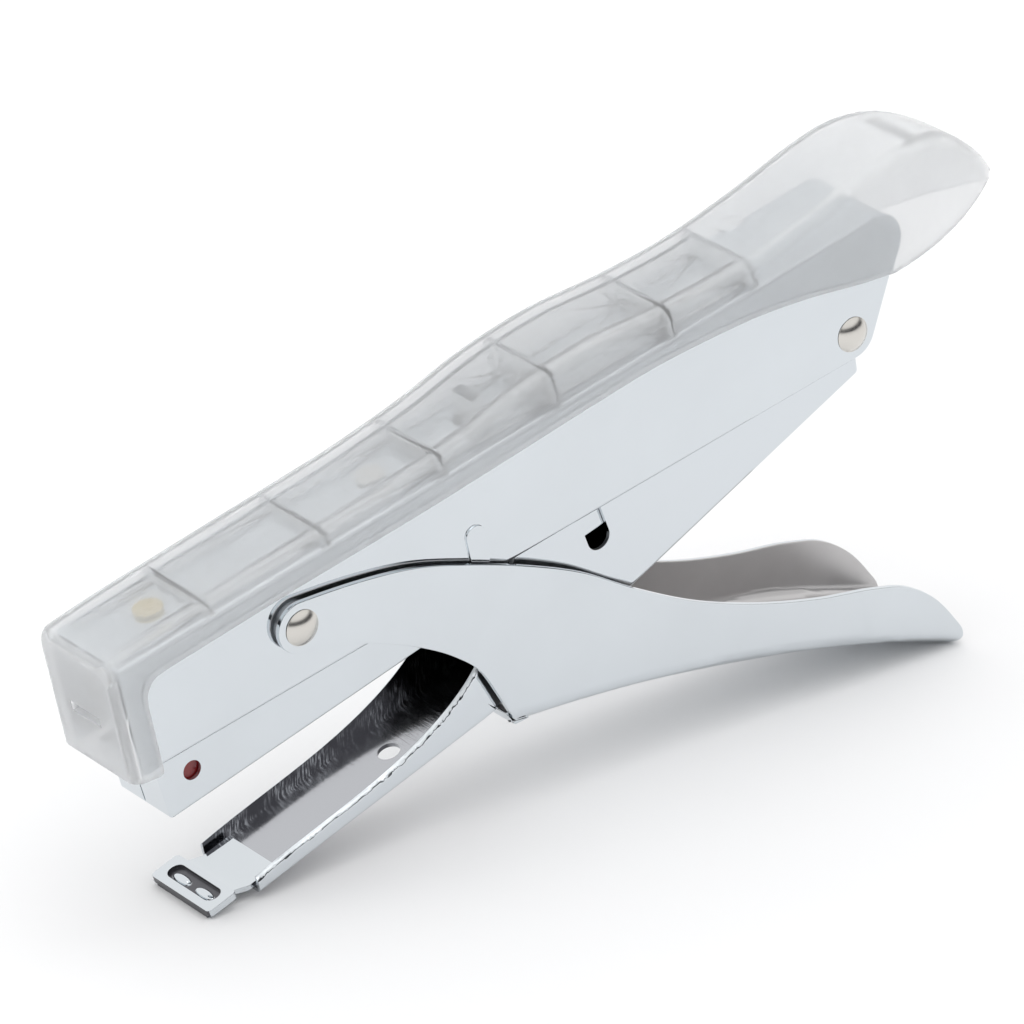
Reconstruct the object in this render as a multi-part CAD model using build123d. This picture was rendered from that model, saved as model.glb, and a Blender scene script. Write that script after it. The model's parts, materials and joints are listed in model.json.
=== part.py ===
from build123d import *
from math import atan2, degrees, hypot
import os

# Plier stapler for small staples, in millimetres.
# The parts are laid out in the body's own frame: the origin is the rear pivot axis, +X points to the
# nose, +Y to the left side and +Z up, with the lower edge of the top frame level.
# At the end everything is turned nose-down, so that it stands on the anvil and the handle's tail.

# ---- Driving dimensions ----
FRONT_PIVOT = (96.45, 5.09)
STEEL = 0.6
CLEAR = 0.1
FIT = 0.03

FRAME_HALF = 7.4
FRAME_INNER = FRAME_HALF - STEEL
FRAME_BOTTOM = -4.2
FRAME_FRONT = 124.0
FRAME_TOP_REAR = 16.05
FRAME_TOP_SLOPE = -0.0242
FRAME_REAR_X = -14.6
BOSS_HEIGHT = 0.3

ARM_HALF = FRAME_INNER - CLEAR
ARM_INNER = ARM_HALF - STEEL
MAG_HALF = ARM_INNER - CLEAR
MAG_INNER = MAG_HALF - STEEL
MAG_TILT = 4.5
MAG_BOTTOM = -4.2
MAG_TOP = 5.0
MAG_FRONT = 121.3
MAG_FLOOR_REAR = 36.0
MAG_FLOOR_FRONT = 117.6
WINDOW_RADIUS = 1.4
WINDOW = (116.2, 0.9)

COVER_HALF = 8.65
COVER_WALL = 1.15
COVER_FRONT = 126.1
COVER_INNER_FRONT = 124.4
COVER_RIM_TAIL = 6.3
RIB = 0.8
RIB_STATIONS = (108.5, 88.9, 69.0, 49.4, 29.0, 14.6)
RIB_SIDE = 5.0
SNAP_X = 58.5
SNAP_RADIUS = 2.4
SNAP_BAR = 1.6
SNAP_TOP = 18.6
FRONT_SLOT = (3.3, 3.25, 4.65)
HEAD_ROOM = 2.6

LEVER_HALF = 8.85
LEVER_WALL = 0.9
LEVER_TAIL_HALF = 9.9
LEVER_FLOOR = 1.0
LEVER_FOLD = 3.0
EAR_RADIUS = 3.75

SHANK = 1.6
HEAD_RADIUS = 2.6
HEAD_HEIGHT = 1.0

BLADE_X = 118.9
BLADE_THICK = 0.5
BLADE_HALF = 4.7
BLADE_TIP = -6.6

RAIL_HALF = 4.1
RAIL_REAR = 37.0
RAIL_FRONT = 118.0
RAIL_BOTTOM = MAG_BOTTOM + STEEL
RAIL_TOP = 1.0
ROD_RADIUS = 0.8
ROD_Z = -1.0
PUSHER_FRONT = 117.3
PUSHER_LENGTH = 8.5
STOP_LENGTH = 4.0
SPRING_COILS = 24
SPRING_RADIUS = 1.4
SPRING_WIRE = 0.2

ANVIL_FRONT = 118.8
ANVIL_REAR = 113.9
ANVIL_HALF = 6.8
ANVIL_THICK = 1.0
ANVIL_RISE = 1.45
NECK_HALF = 5.4

LEAF_RIVET_X = 76.0
LEAF_RIVET = 1.2
LEAF_THICK = 0.4
DRIVER_RIVET_X = 113.4
DRIVER_RIVET = 1.25
RAIL_RIVET_X = 44.0
RAIL_RIVET = 1.0

BUSH_RADIUS = 2.0
COIL_RADIUS = 2.75
COIL_WIRE = 0.5
COIL_TURNS = 5

SLOT_CENTRE = (46.9, -8.5)
SLOT_TILT = 8.8
SLOT_HALF = 1.9
FLOOR_HOLE_X = 82.6
FLOOR_HOLE_RADIUS = 1.65
ARM_FLOOR_AT_LEG = -15.6

# ---- Outlines seen from the left side, as (x, z) points ----
ARM_REAR_LINE = ((-0.6, -6.9), (61.5, -24.2))
ARM_FRONT_LINE = ((70.5, -25.9), (110.6, -31.5))
ARM_EDGE = [
    (110.6, -28.9), (98.0, -26.8), (84.5, -24.2), (75.5, -20.8), (69.5, -16.6), (64.5, -10.0), (60.0, -3.0),
]
COVER_TOP = [
    (122.5, 14.75), (98.0, 16.05), (75.0, 17.1), (64.5, 18.3), (54.0, 20.2), (42.0, 20.9), (30.0, 19.95),
    (19.0, 19.7), (6.0, 21.0), (-7.0, 23.1), (-13.0, 23.45), (-18.7, 22.4), (-23.0, 20.0), (-28.0, 15.4),
    (-31.3, 11.3), (-33.2, 7.6),
]
COVER_RIM = [
    (-8.0, COVER_RIM_TAIL), (-2.0, 7.6), (6.5, 9.8), (15.5, 11.5), (23.6, 12.3), (33.5, 12.8), (45.0, 12.5),
    (58.2, 11.9), (75.8, 11.2), (95.0, 10.8), (117.5, 10.0),
]
LIP_X = 121.3
LIP_BOTTOM = -4.6

LEVER_TOP = [
    (91.5, 7.95), (86.0, 6.7), (77.0, 3.9), (68.5, -0.3), (60.4, -5.0), (52.0, -10.7), (44.2, -17.6),
    (33.3, -26.0), (24.6, -31.0), (15.0, -35.3), (5.6, -38.7), (0.3, -41.3), (-3.9, -45.3), (-7.0, -50.6),
    (-8.2, -53.8),
]
LEVER_BOTTOM = [(-6.7, -55.7), (6.7, -48.5), (14.2, -45.1), (29.4, -39.4), (47.5, -33.2), (64.0, -28.8)]
LEVER_RUN_ON = (78.0, -25.6)
LEVER_TOE = (66.8, -28.4)
LEVER_FRONT = [
    (67.8, -25.2), (69.0, -21.5), (71.0, -16.4), (74.6, -12.0), (79.7, -7.6), (84.5, -4.3), (90.0, -1.3),
]
LEVER_REAR_X = -14.0
LEVER_BELOW = -75.0
LIFTING_LIP = [(64.6, -28.2), (66.9, -28.0), (67.9, -25.55), (67.0, -25.5), (66.2, -27.2), (64.6, -27.5)]


# ---- Small helpers ----
def side_face(*pts, radius=0):
    """A closed outline in the XZ plane, from (x, z) points and corner radii."""
    line = FilletPolyline(*pts, radius=radius, close=True)
    return make_face(Plane.XZ * line)


def spread(face, low_y, high_y):
    """Extrude a face of the XZ plane from low_y to high_y."""
    return Pos(0, high_y, 0) * extrude(face, amount=high_y - low_y, dir=(0, -1, 0))


def both_sides(face, half):
    return spread(face, -half, half)


def block(low, high):
    size = [b - a for a, b in zip(low, high)]
    centre = [(a + b) / 2 for a, b in zip(low, high)]
    return Pos(*centre) * Box(*size)


def cross_rod(x, z, radius, low_y, high_y):
    """A cylinder along Y."""
    return Pos(x, (low_y + high_y) / 2, z) * Rot(90, 0, 0) * Cylinder(radius, high_y - low_y)


def upright(x, y, radius, low_z, high_z):
    return Pos(x, y, (low_z + high_z) / 2) * Cylinder(radius, high_z - low_z)


def inset(points, distance):
    """Move the points of an open outline to their right-hand side by a distance."""
    moved = []
    for i, (x, z) in enumerate(points):
        ahead = points[min(i + 1, len(points) - 1)]
        behind = points[max(i - 1, 0)]
        run = hypot(ahead[0] - behind[0], ahead[1] - behind[1])
        along = ((ahead[0] - behind[0]) / run, (ahead[1] - behind[1]) / run)
        moved.append((x - along[1] * distance, z + along[0] * distance))
    return moved


def on_line(centre, line, near=1.5):
    """True for a point that lies near an open line of (x, z) points."""
    for (x0, z0), (x1, z1) in zip(line, line[1:]):
        run = hypot(x1 - x0, z1 - z0)
        offset = ((centre.X - x0) * (z1 - z0) - (centre.Z - z0) * (x1 - x0)) / run
        along = ((centre.X - x0) * (x1 - x0) + (centre.Z - z0) * (z1 - z0)) / run
        if abs(offset) < near and -1 < along < run + 1:
            return True
    return False


def frame_top(x):
    """Height of the outside of the frame's sloping top plate."""
    return FRAME_TOP_REAR + FRAME_TOP_SLOPE * (x - FRAME_REAR_X)


def top_parallel(x_rear, x_front, gap, thickness):
    """An outline that runs parallel to the frame's top plate, a gap below its outside."""
    return side_face(
        (x_rear, frame_top(x_rear) - gap),
        (x_front, frame_top(x_front) - gap),
        (x_front, frame_top(x_front) - gap - thickness),
        (x_rear, frame_top(x_rear) - gap - thickness),
    )


def in_magazine(shape):
    """Turn a shape from the magazine's own level frame to its rest position."""
    return Rot(0, MAG_TILT, 0) * shape


def rivet(x, z, head_face_y):
    """A rivet through both sides: a shank and a low domed head on each end."""
    sphere = (HEAD_RADIUS**2 + HEAD_HEIGHT**2) / (2 * HEAD_HEIGHT)
    body = cross_rod(x, z, SHANK, -head_face_y, head_face_y)
    for side in (-1, 1):
        centre_y = side * (head_face_y + HEAD_HEIGHT - sphere)
        dome = Pos(x, centre_y, z) * Sphere(sphere)
        low_y, high_y = sorted((side * head_face_y, side * (head_face_y + HEAD_HEIGHT)))
        body += dome & cross_rod(x, z, HEAD_RADIUS, low_y, high_y)
    return body


# ---- Top frame, driver and leaf spring ----
def make_top_frame():
    outline = side_face(
        (FRAME_REAR_X, FRAME_TOP_REAR),
        (FRAME_FRONT, frame_top(FRAME_FRONT)),
        (FRAME_FRONT, FRAME_BOTTOM),
        (-2.6, FRAME_BOTTOM),
        radius=[4.5, 0.6, 0.6, 4.2],
    )
    shell = both_sides(outline, FRAME_HALF)
    outer_edges = shell.edges().filter_by(lambda e: abs(e.center().Y) > FRAME_HALF - 0.01)
    top_edges = outer_edges.filter_by(lambda e: e.center().Z > 12)
    shell = fillet(top_edges, 0.8)
    hollow = side_face(
        (FRAME_REAR_X - 10, frame_top(FRAME_REAR_X - 10) - STEEL),
        (FRAME_FRONT + 5, frame_top(FRAME_FRONT + 5) - STEEL),
        (FRAME_FRONT + 5, FRAME_BOTTOM - 5),
        (FRAME_REAR_X - 10, FRAME_BOTTOM - 5),
    )
    shell -= both_sides(hollow, FRAME_INNER)
    shell -= cross_rod(0, 0, SHANK + FIT, -FRAME_HALF - 1, FRAME_HALF + 1)
    shell -= cross_rod(*FRONT_PIVOT, SHANK + FIT, -FRAME_HALF - 1, FRAME_HALF + 1)
    shell -= upright(SNAP_X, 0, SNAP_RADIUS + 0.3, 10, 20)
    shell -= upright(DRIVER_RIVET_X, 0, DRIVER_RIVET + FIT, 10, 20)
    shell -= upright(LEAF_RIVET_X, 0, LEAF_RIVET + FIT, 10, 20)
    boss = side_face((64.9, -2.6), (64.9, 4.3), (68.1, 4.3), (68.1, -2.6), radius=1.55)
    for side in (-1, 1):
        low_y, high_y = sorted((side * (FRAME_HALF - 0.3), side * (FRAME_HALF + BOSS_HEIGHT)))
        shell += spread(boss, low_y, high_y)
    return shell


def make_driver_blade():
    gap = STEEL
    outline = side_face(
        (BLADE_X + BLADE_THICK, BLADE_TIP),
        (BLADE_X, BLADE_TIP),
        (BLADE_X, frame_top(BLADE_X) - gap - BLADE_THICK),
        (109.5, frame_top(109.5) - gap - BLADE_THICK),
        (109.5, frame_top(109.5) - gap),
        (BLADE_X + BLADE_THICK, frame_top(BLADE_X + BLADE_THICK) - gap),
    )
    blade = both_sides(outline, BLADE_HALF)
    return blade - upright(DRIVER_RIVET_X, 0, DRIVER_RIVET + FIT, 8, 20)


def flat_rivet(x, radius, below, above):
    """A rivet along Z, with a low button head on top and a flat one underneath."""
    body = upright(x, 0, radius, below - 0.4, above + 0.3)
    body += upright(x, 0, radius * 1.7, above, above + 0.5)
    body += upright(x, 0, radius * 1.6, below - 0.4, below)
    return body


def make_driver_rivet():
    below = frame_top(DRIVER_RIVET_X) - STEEL - BLADE_THICK - 0.05
    return flat_rivet(DRIVER_RIVET_X, DRIVER_RIVET, below, frame_top(DRIVER_RIVET_X) + 0.05)


def leaf_line():
    """The leaf runs flat under the frame's top, then bends down to the magazine's side walls."""
    flat = [(x, frame_top(x) - STEEL) for x in (80, 72)]
    return flat + [(60, frame_top(70) - STEEL - 1.6), (46, 8.5), (33, 3.4), (27, 3.5)]


def make_leaf_spring():
    upper = leaf_line()
    lower = inset(upper, LEAF_THICK)
    line = Line(upper[0], upper[1]) + Spline(upper[1:], tangents=[(-1, 0.02), (-1, 0.2)])
    back = Line(lower[0], lower[1]) + Spline(lower[1:], tangents=[(-1, 0.02), (-1, 0.2)])
    ends = Line(upper[0], lower[0]) + Line(upper[-1], lower[-1])
    face = make_face(Plane.XZ * (line + back + ends))
    leaf = both_sides(face, MAG_HALF - 0.2)
    leaf -= upright(LEAF_RIVET_X, 0, LEAF_RIVET + FIT, 5, 20)
    return leaf


def make_leaf_rivet():
    below = frame_top(LEAF_RIVET_X) - STEEL - LEAF_THICK - 0.08
    return flat_rivet(LEAF_RIVET_X, LEAF_RIVET, below, frame_top(LEAF_RIVET_X) + 0.05)


# ---- Grip cover ----
def cover_side():
    top = Spline(*COVER_TOP)
    rim = Spline(*COVER_RIM)
    nose = FilletPolyline(
        COVER_TOP[0],
        (COVER_FRONT, 14.55),
        (COVER_FRONT, LIP_BOTTOM + 0.6),
        (LIP_X, LIP_BOTTOM),
        (LIP_X, 9.9),
        COVER_RIM[-1],
        radius=[1.6, 1.2, 0.8, 2.4],
    )
    tail = Line(COVER_TOP[-1], (-32.6, COVER_RIM_TAIL)) + Line((-32.6, COVER_RIM_TAIL), COVER_RIM[0])
    return make_face(Plane.XZ * (top + nose + rim + tail))


def plan_face(half, front, corner, tail_reach):
    """The cover seen from above: straight sides, rounded front corners and a parabolic tail."""
    tail_start = -8.0
    steps = [i / 8 for i in range(1, 8)]
    tail = [(tail_start, half)]
    tail += [(tail_start - tail_reach * s, half * (1 - s * s)) for s in steps]
    tail += [(tail_start - tail_reach, 0)]
    tail += [(x, -y) for x, y in reversed(tail[:-1])]
    outline = Spline(*tail, tangents=[(-1, 0), (1, 0)])
    nose = FilletPolyline(
        (tail_start, half), (front, half), (front, -half), (tail_start, -half), radius=[corner, corner]
    )
    return make_face(outline + nose)


def make_grip_cover():
    outer = both_sides(cover_side(), COVER_HALF + 1)
    outer &= extrude(plan_face(COVER_HALF, COVER_FRONT, 1.8, 25.3), amount=60, both=True)
    inner_top = inset(COVER_TOP, COVER_WALL + 0.15)
    inner_top[0] = (COVER_INNER_FRONT, 13.35)
    inner_line = Spline(*inner_top)
    closing = Polyline(inner_top[-1], (inner_top[-1][0], -20), (COVER_INNER_FRONT, -20), inner_top[0])
    hollow = both_sides(make_face(Plane.XZ * (inner_line + closing)), COVER_HALF)
    inner_half = COVER_HALF - COVER_WALL
    hollow &= extrude(plan_face(inner_half, COVER_INNER_FRONT, 0.8, 23.8), amount=60, both=True)
    cover = outer - hollow
    above_frame = side_face(
        (-6, frame_top(-6) + CLEAR),
        (COVER_INNER_FRONT, frame_top(COVER_INNER_FRONT) + CLEAR),
        (COVER_INNER_FRONT, 40),
        (-6, 40),
    )
    rib_space = hollow & both_sides(above_frame, COVER_HALF)
    ribs = [block((x - RIB / 2, -9, 0), (x + RIB / 2, 9, 40)) for x in RIB_STATIONS]
    for y in (-RIB_SIDE, RIB_SIDE):
        ribs.append(block((RIB_STATIONS[-1], y - RIB / 2, 0), (122, y + RIB / 2, 40)))
    for rib in ribs:
        cover += rib & rib_space
    for x in (DRIVER_RIVET_X, LEAF_RIVET_X):
        cover -= block((x - HEAD_ROOM, -HEAD_ROOM, 0), (x + HEAD_ROOM, HEAD_ROOM, frame_top(x) + 0.9))
    post = upright(SNAP_X, 0, SNAP_RADIUS, frame_top(SNAP_X) - STEEL - 0.5, SNAP_TOP)
    cover += post & block((SNAP_X - SNAP_BAR / 2, -5, 0), (SNAP_X + SNAP_BAR / 2, 5, 20))
    half, low, high = FRONT_SLOT
    cover -= block((COVER_INNER_FRONT - 1, -half, low), (COVER_FRONT + 1, half, high))
    return cover


# ---- Magazine group, drawn level and then turned ----
def cross_along(radius, low_x, high_x):
    """A cylinder along the magazine, on the guide rod's axis."""
    return Pos((low_x + high_x) / 2, 0, ROD_Z) * Rot(0, 90, 0) * Cylinder(radius, high_x - low_x)


def make_magazine():
    wall = side_face(
        (-4.4, MAG_TOP), (MAG_FRONT, MAG_TOP), (MAG_FRONT, MAG_BOTTOM), (-4.4, MAG_BOTTOM),
        radius=[3.0, 0.6, 0.5, 3.0],
    )
    body = both_sides(wall, MAG_HALF)
    corner_edges = body.edges().filter_by(
        lambda e: abs(abs(e.center().Y) - MAG_HALF) < 0.01
        and (e.center().X > MAG_FRONT - 0.01 or (e.center().Z < MAG_BOTTOM + 0.01 and e.length > 50))
    )
    body = fillet(corner_edges, 0.55)
    body -= block((-10, -MAG_INNER, MAG_BOTTOM + STEEL), (MAG_FRONT - STEEL, MAG_INNER, 20))
    body -= block((-10, -MAG_INNER, -20), (MAG_FLOOR_REAR, MAG_INNER, 20))
    body -= block((MAG_FLOOR_FRONT, -MAG_INNER, -20), (MAG_FRONT - STEEL, MAG_INNER, 20))
    body -= block((MAG_FRONT - 2, -0.13, -20), (MAG_FRONT + 1, 0.13, 20))
    body -= cross_rod(0, 0, SHANK + FIT, -10, 10)
    body -= cross_rod(*WINDOW, WINDOW_RADIUS, -10, 10)
    body -= upright(RAIL_RIVET_X, 0, RAIL_RIVET + FIT, -10, 0)
    return in_magazine(body)


def make_staple_rail():
    rail = block((RAIL_REAR, -RAIL_HALF, RAIL_BOTTOM), (RAIL_FRONT, RAIL_HALF, RAIL_TOP))
    inner = RAIL_HALF - STEEL
    rail -= block((RAIL_REAR - 1, -inner, RAIL_BOTTOM + STEEL), (RAIL_FRONT - 0.5, inner, 9))
    rail -= cross_along(ROD_RADIUS + FIT, RAIL_FRONT - 2, RAIL_FRONT + 1)
    rail -= upright(RAIL_RIVET_X, 0, RAIL_RIVET + FIT, -10, 0)
    return in_magazine(rail)


def make_rail_rivet():
    shank = upright(RAIL_RIVET_X, 0, RAIL_RIVET, MAG_BOTTOM - 0.4, RAIL_BOTTOM + STEEL + 0.3)
    head = upright(RAIL_RIVET_X, 0, 1.8, MAG_BOTTOM - 0.5, MAG_BOTTOM - 0.05)
    foot = upright(RAIL_RIVET_X, 0, 1.6, RAIL_BOTTOM + STEEL + 0.05, RAIL_BOTTOM + STEEL + 0.3)
    return in_magazine(shank + head + foot)


def make_spring_stop():
    """The block at the rail's rear end that carries the rod and takes the spring's thrust."""
    stop = block(
        (RAIL_REAR, -RAIL_HALF + STEEL + CLEAR, RAIL_BOTTOM + STEEL + 0.55),
        (RAIL_REAR + STOP_LENGTH, RAIL_HALF - STEEL - CLEAR, RAIL_TOP + 1.2),
    )
    stop = fillet(stop.edges().filter_by(Axis.Y), 0.5)
    stop -= cross_along(ROD_RADIUS + FIT, RAIL_REAR - 1, RAIL_REAR + STOP_LENGTH + 1)
    return in_magazine(stop)


def make_pusher_rod():
    rod = cross_along(ROD_RADIUS, RAIL_REAR - 0.6, RAIL_FRONT + 0.3)
    rod += cross_along(ROD_RADIUS * 1.6, RAIL_REAR - 1.2, RAIL_REAR - 0.1)
    return in_magazine(rod)


def make_pusher():
    rear = PUSHER_FRONT - PUSHER_LENGTH
    head = block((rear, -MAG_INNER + 0.2, RAIL_TOP + CLEAR), (PUSHER_FRONT, MAG_INNER - 0.2, RAIL_TOP + 2.4))
    head = fillet(head.edges().filter_by(Axis.X), 0.5)
    low = RAIL_BOTTOM + STEEL + 0.2
    for side in (-1, 1):
        low_y, high_y = sorted((side * (RAIL_HALF + 0.15), side * (MAG_INNER - 0.2)))
        head += block((rear + 1.5, low_y, RAIL_BOTTOM + 0.2), (PUSHER_FRONT, high_y, RAIL_TOP + 1.5))
    keel = RAIL_HALF - STEEL - 0.15
    head += block((rear, -keel, low), (PUSHER_FRONT, keel, RAIL_TOP + 1))
    head -= cross_along(ROD_RADIUS + 0.05, rear - 1, PUSHER_FRONT + 1)
    return in_magazine(head)


def make_pusher_spring():
    rear = RAIL_REAR + STOP_LENGTH + SPRING_WIRE + 0.1
    front = PUSHER_FRONT - PUSHER_LENGTH - SPRING_WIRE - 0.1
    path = Helix(pitch=(front - rear) / SPRING_COILS, height=front - rear, radius=SPRING_RADIUS)
    section = Plane(origin=path @ 0, z_dir=path % 0) * Circle(SPRING_WIRE)
    coil = sweep(section, path=path)
    return in_magazine(Pos(rear, 0, ROD_Z) * Rot(0, 90, 0) * coil)


# ---- Jaw spring and bush on the rear pivot ----
def make_rear_bush():
    bush = cross_rod(0, 0, BUSH_RADIUS, -MAG_INNER + 0.1, MAG_INNER - 0.1)
    return bush - cross_rod(0, 0, SHANK + FIT, -10, 10)


def leg(start, end):
    run = Vector(*end) - Vector(*start)
    plane = Plane(origin=start, z_dir=run)
    return extrude(plane * Circle(COIL_WIRE), amount=run.length)


def make_jaw_spring():
    width = 2 * COIL_WIRE * 1.06 * COIL_TURNS
    path = Helix(pitch=width / COIL_TURNS, height=width, radius=COIL_RADIUS)
    section = Plane(origin=path @ 0, z_dir=path % 0) * Circle(COIL_WIRE)
    coil = Pos(0, width / 2, 0) * Rot(90, 0, 0) * sweep(section, path=path)
    start_y = width / 2
    end_y = -width / 2
    upper = leg((COIL_RADIUS, start_y, 0), (30, start_y, frame_top(30) - STEEL - COIL_WIRE - 0.2))
    lower = leg((COIL_RADIUS, end_y, 0), (34, end_y, ARM_FLOOR_AT_LEG + COIL_WIRE))
    ball = [Pos(COIL_RADIUS, y, 0) * Sphere(COIL_WIRE) for y in (start_y, end_y)]
    return coil + ball + upper + lower


# ---- Anvil arm ----
def make_anvil_arm():
    bottom = [*ARM_REAR_LINE, *ARM_FRONT_LINE]
    edge = Spline(*ARM_EDGE)
    rest = FilletPolyline(
        ARM_EDGE[-1], (57.0, 1.6), (4.0, 5.4), (-4.5, 4.4), (-4.2, -2.0), (-0.8, -3.4), *bottom, ARM_EDGE[0],
        radius=[2.5, 3.0, 3.0, 2.0, 0.6, 0.8, 6.0, 6.0, 0],
    )
    side = make_face(Plane.XZ * (edge + rest))
    arm = both_sides(side, ARM_HALF)
    fold = arm.edges().filter_by(
        lambda e: abs(abs(e.center().Y) - ARM_HALF) < 0.01 and e.length > 30 and e.center().Z < -12
        and on_line(e.center(), bottom, 0.05)
    )
    arm = fillet(fold, 0.9)
    floor = inset(bottom, STEEL)
    floor[0] = (floor[0][0] - 12, floor[0][1] + 12 * 0.279)
    floor[-1] = (floor[-1][0] + 12, floor[-1][1] - 12 * 0.141)
    space = side_face(*floor, (125, 30), (-15, 30), radius=[0, 6.0, 6.0, 0, 0, 0])
    arm -= both_sides(space, ARM_INNER)
    arm -= block((-10, -ARM_INNER, -12), (6, ARM_INNER, 10))
    arm -= cross_rod(0, 0, SHANK + FIT, -10, 10)
    corners = ((-SLOT_HALF, -SLOT_HALF), (-SLOT_HALF, 8), (SLOT_HALF, 8), (SLOT_HALF, -SLOT_HALF))
    slot = Rot(0, SLOT_TILT, 0) * side_face(*corners, radius=SLOT_HALF - 0.05)
    arm -= both_sides(Pos(SLOT_CENTRE[0], 0, SLOT_CENTRE[1]) * slot, 10)
    arm -= upright(FLOOR_HOLE_X, 0, FLOOR_HOLE_RADIUS, -40, 0)
    return arm


def make_anvil_plate():
    """The plate that bends the staple's legs: a neck on the arm's floor and a head with two grooves."""
    drop = ARM_FRONT_LINE[0][1] - ARM_FRONT_LINE[1][1]
    slope = degrees(atan2(drop, ARM_FRONT_LINE[1][0] - ARM_FRONT_LINE[0][0]))
    head = block((ANVIL_REAR, -ANVIL_HALF, ANVIL_RISE), (ANVIL_FRONT, ANVIL_HALF, ANVIL_RISE + ANVIL_THICK))
    head = fillet(head.edges().filter_by(Axis.Z), 0.7)
    lip_half = ANVIL_HALF - 0.8
    lip = block((ANVIL_FRONT - 0.8, -lip_half, ANVIL_RISE - 0.5), (ANVIL_FRONT, lip_half, ANVIL_RISE + 0.5))
    neck_side = side_face(
        (106.5, 0), (111.5, 0), (ANVIL_REAR + 0.8, ANVIL_RISE), (ANVIL_REAR + 0.8, ANVIL_RISE + 0.7),
        (111.2, 0.7), (106.5, 0.7),
    )
    plate = head + lip + both_sides(neck_side, NECK_HALF)
    top = ANVIL_RISE + ANVIL_THICK
    for side in (-1, 1):
        groove = block((115.1, side * 2.9 - 2.3, top - 0.35), (117.3, side * 2.9 + 2.3, top + 2))
        plate -= fillet(groove.edges().filter_by(Axis.Z), 0.6)
    anchor_x, anchor_z = ARM_FRONT_LINE[1]
    level = Pos(-anchor_x, 0, 0) * plate
    return Pos(anchor_x, 0, anchor_z + STEEL + 0.02) * Rot(0, slope, 0) * level


# ---- Lower handle ----
def lever_side():
    """The handle from the side, open below: the trough's own lower face closes it."""
    ear_start = (FRONT_PIVOT[0] - 0.9, FRONT_PIVOT[1] + 3.64)
    ear_end = (FRONT_PIVOT[0] - 0.3, FRONT_PIVOT[1] - 3.74)
    ear_mid = (FRONT_PIVOT[0] + EAR_RADIUS, FRONT_PIVOT[1])
    edges = ThreePointArc(ear_start, ear_mid, ear_end)
    edges += Spline(ear_start, *LEVER_TOP)
    edges += Spline(LEVER_TOP[-1], (-7.9, -55.3), LEVER_BOTTOM[0])
    edges += Polyline(LEVER_BOTTOM[0], (LEVER_BOTTOM[0][0], LEVER_BELOW), (66.0, -50), LEVER_TOE)
    edges += Line(LEVER_TOE, LEVER_FRONT[0])
    edges += Spline(*LEVER_FRONT, ear_end)
    return make_face(Plane.XZ * edges)


def lever_plan(half_front, half_tail):
    """The handle seen from above: straight sides that flare towards the open tail."""
    start = 34
    middle = half_front + (half_tail - half_front) * 0.42
    flare = [(start, half_front), (22, middle), (10, half_tail - 0.12), (LEVER_REAR_X, half_tail)]
    left = Spline(*flare, tangents=[(-1, 0), (-1, 0)])
    right = Spline(*[(x, -y) for x, y in flare], tangents=[(-1, 0), (-1, 0)])
    front = Polyline((start, half_front), (110, half_front), (110, -half_front), (start, -half_front))
    rear = Line((LEVER_REAR_X, half_tail), (LEVER_REAR_X, -half_tail))
    return make_face(left + right + front + rear)


def make_trough(line, half_front, half_tail, fold):
    """Everything above a lower line, between the handle's sides, with the long lower edges rounded."""
    closing = Polyline(line[-1], (LEVER_REAR_X, -60), (LEVER_REAR_X, 30), (115, 30), (115, -28), line[0])
    trough = both_sides(make_face(Plane.XZ * (Spline(*line) + closing)), LEVER_TAIL_HALF + 1)
    trough &= extrude(lever_plan(half_front, half_tail), amount=80, both=True)
    long_edges = trough.edges().filter_by(lambda e: abs(e.center().Y) > 5 and e.length > 30)
    return fillet(long_edges.filter_by(lambda e: on_line(e.center(), line)), fold)


def make_lower_handle():
    lower = [LEVER_RUN_ON] + list(reversed(LEVER_BOTTOM))
    outer = make_trough(lower, LEVER_HALF, LEVER_TAIL_HALF, LEVER_FOLD)
    outer &= both_sides(lever_side(), LEVER_TAIL_HALF + 1)
    inner_half = LEVER_HALF - LEVER_WALL
    inner_tail = LEVER_TAIL_HALF - LEVER_WALL
    hollow = make_trough(inset(lower, -LEVER_FLOOR), inner_half, inner_tail, LEVER_FOLD - LEVER_WALL)
    lever = outer - hollow
    lever += both_sides(side_face(*LIFTING_LIP), inner_half + 0.1)
    lever -= cross_rod(*FRONT_PIVOT, SHANK + 0.05, -20, 20)
    return lever


# ---- Pivots ----
def make_pivot_washers():
    rings = []
    for side in (-1, 1):
        low_y, high_y = sorted((side * (FRAME_HALF + 0.02), side * (LEVER_HALF - LEVER_WALL - 0.03)))
        ring = cross_rod(*FRONT_PIVOT, 3.3, low_y, high_y) - cross_rod(*FRONT_PIVOT, SHANK + FIT, -20, 20)
        rings.append(ring)
    return rings


# ---- Assembly: build every node, stand it up and write it ----
def build_nodes():
    return {
        "top_frame": make_top_frame(),
        "grip_cover": make_grip_cover(),
        "driver_blade": make_driver_blade(),
        "driver_rivet": make_driver_rivet(),
        "magazine_leaf_spring": make_leaf_spring(),
        "leaf_spring_rivet": make_leaf_rivet(),
        "magazine": make_magazine(),
        "staple_rail": make_staple_rail(),
        "rail_rivet": make_rail_rivet(),
        "rail_end_stop": make_spring_stop(),
        "pusher_rod": make_pusher_rod(),
        "pusher": make_pusher(),
        "pusher_spring": make_pusher_spring(),
        "rear_pivot_rivet": rivet(0, 0, FRAME_HALF + 0.02),
        "rear_pivot_bush": make_rear_bush(),
        "jaw_spring": make_jaw_spring(),
        "anvil_arm": make_anvil_arm(),
        "anvil_plate": make_anvil_plate(),
        "lower_handle": make_lower_handle(),
        "front_pivot_rivet": rivet(*FRONT_PIVOT, LEVER_HALF + 0.05),
        "front_pivot_washers": make_pivot_washers(),
    }


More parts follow.
